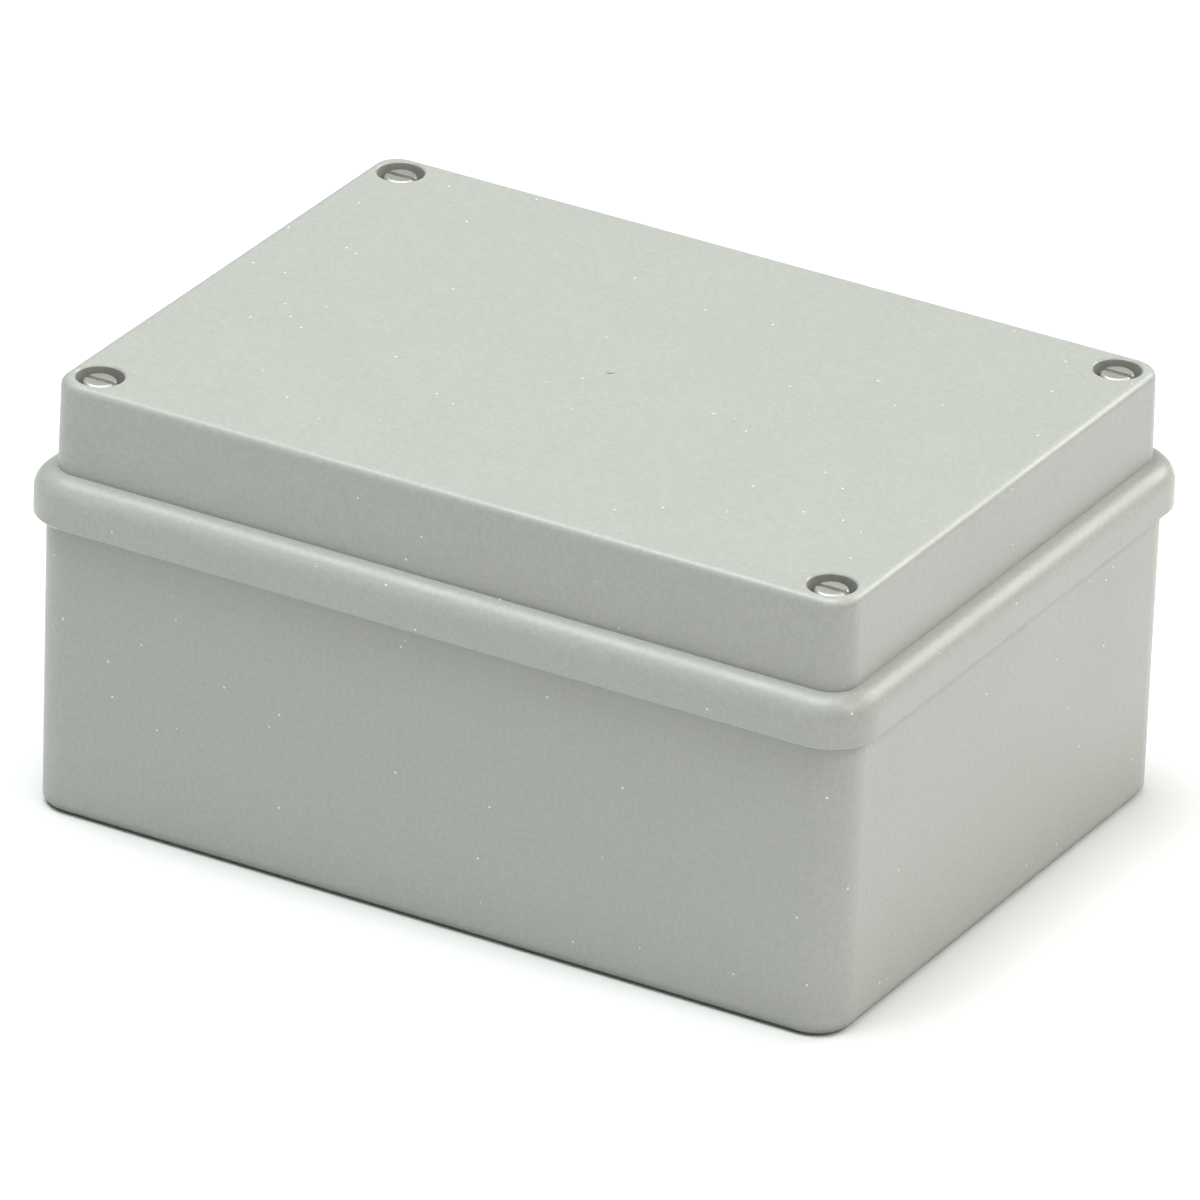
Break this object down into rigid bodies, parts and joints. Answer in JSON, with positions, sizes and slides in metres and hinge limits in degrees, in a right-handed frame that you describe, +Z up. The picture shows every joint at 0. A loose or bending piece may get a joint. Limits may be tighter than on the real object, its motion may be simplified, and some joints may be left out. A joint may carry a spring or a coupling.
{
  "type": "electrical junction box",
  "caption": "Smooth-walled rectangular junction box with a raised, round-shouldered lid held by captive corner screws.",
  "frame": {"origin": "centre of the base's underside", "axes": "+X along the length to the right, +Y across to the back, +Z up out of the lid"},
  "size_m": [0.16, 0.1182, 0.079],
  "materials": {
    "box_plastic": "light grey thermoplastic, fine spark-eroded texture",
    "gasket_foam": "black foamed seal",
    "screw_steel": "zinc-plated steel",
    "seal_rubber": "black rubber",
    "nylon": "natural nylon",
    "brass": "turned brass",
    "cap_plastic": "grey thermoplastic"
  },
  "bodies": {
    "base": {"base": "box_plastic", "screw_insert_front_left": "brass", "screw_insert_front_right": "brass", "screw_insert_back_left": "brass", "screw_insert_back_right": "brass"},
    "lid": {"lid": "box_plastic", "lid_gasket": "gasket_foam"},
    "screw_rings_front_left": {"screw_seal_front_left": "seal_rubber", "screw_retainer_front_left": "nylon"},
    "screw_front_left": {"lid_screw_front_left": "screw_steel"},
    "cap_front_left": {"fixing_cap_front_left": "cap_plastic"},
    "screw_rings_front_right": {"screw_seal_front_right": "seal_rubber", "screw_retainer_front_right": "nylon"},
    "screw_front_right": {"lid_screw_front_right": "screw_steel"},
    "cap_front_right": {"fixing_cap_front_right": "cap_plastic"},
    "screw_rings_back_left": {"screw_seal_back_left": "seal_rubber", "screw_retainer_back_left": "nylon"},
    "screw_back_left": {"lid_screw_back_left": "screw_steel"},
    "cap_back_left": {"fixing_cap_back_left": "cap_plastic"},
    "screw_rings_back_right": {"screw_seal_back_right": "seal_rubber", "screw_retainer_back_right": "nylon"},
    "screw_back_right": {"lid_screw_back_right": "screw_steel"},
    "cap_back_right": {"fixing_cap_back_right": "cap_plastic"}
  },
  "joints": [
    {"name": "lid_lift", "type": "slide", "parent": "base", "child": "lid", "axis": [0, 0, 1], "range_m": [0, 0.06]},
    {"name": "screw_front_left_rise", "type": "slide", "parent": "lid", "child": "screw_rings_front_left", "axis": [0, 0, 1], "range_m": [0, 0.0084]},
    {"name": "screw_front_left_turn", "type": "hinge", "parent": "screw_rings_front_left", "child": "screw_front_left", "pos_m": [-0.0697, -0.04875, 0.0782], "axis": [0, 0, 1], "range_deg": [0, 4320]},
    {"name": "cap_front_left_pull", "type": "slide", "parent": "base", "child": "cap_front_left", "axis": [0, 0, 1], "range_m": [0, 0.012]},
    {"name": "screw_front_right_rise", "type": "slide", "parent": "lid", "child": "screw_rings_front_right", "axis": [0, 0, 1], "range_m": [0, 0.0084]},
    {"name": "screw_front_right_turn", "type": "hinge", "parent": "screw_rings_front_right", "child": "screw_front_right", "pos_m": [0.0697, -0.04875, 0.0782], "axis": [0, 0, 1], "range_deg": [0, 4320]},
    {"name": "cap_front_right_pull", "type": "slide", "parent": "base", "child": "cap_front_right", "axis": [0, 0, 1], "range_m": [0, 0.012]},
    {"name": "screw_back_left_rise", "type": "slide", "parent": "lid", "child": "screw_rings_back_left", "axis": [0, 0, 1], "range_m": [0, 0.0084]},
    {"name": "screw_back_left_turn", "type": "hinge", "parent": "screw_rings_back_left", "child": "screw_back_left", "pos_m": [-0.0697, 0.04875, 0.0782], "axis": [0, 0, 1], "range_deg": [0, 4320]},
    {"name": "cap_back_left_pull", "type": "slide", "parent": "base", "child": "cap_back_left", "axis": [0, 0, 1], "range_m": [0, 0.012]},
    {"name": "screw_back_right_rise", "type": "slide", "parent": "lid", "child": "screw_rings_back_right", "axis": [0, 0, 1], "range_m": [0, 0.0084]},
    {"name": "screw_back_right_turn", "type": "hinge", "parent": "screw_rings_back_right", "child": "screw_back_right", "pos_m": [0.0697, 0.04875, 0.0782], "axis": [0, 0, 1], "range_deg": [0, 4320]},
    {"name": "cap_back_right_pull", "type": "slide", "parent": "base", "child": "cap_back_right", "axis": [0, 0, 1], "range_m": [0, 0.012]}
  ],
  "couplings": [
    {"joint": "screw_front_left_rise", "follows": "screw_front_left_turn", "m_per_rad": 0.00011141},
    {"joint": "screw_front_right_rise", "follows": "screw_front_right_turn", "m_per_rad": 0.00011141},
    {"joint": "screw_back_left_rise", "follows": "screw_back_left_turn", "m_per_rad": 0.00011141},
    {"joint": "screw_back_right_rise", "follows": "screw_back_right_turn", "m_per_rad": 0.00011141}
  ]
}
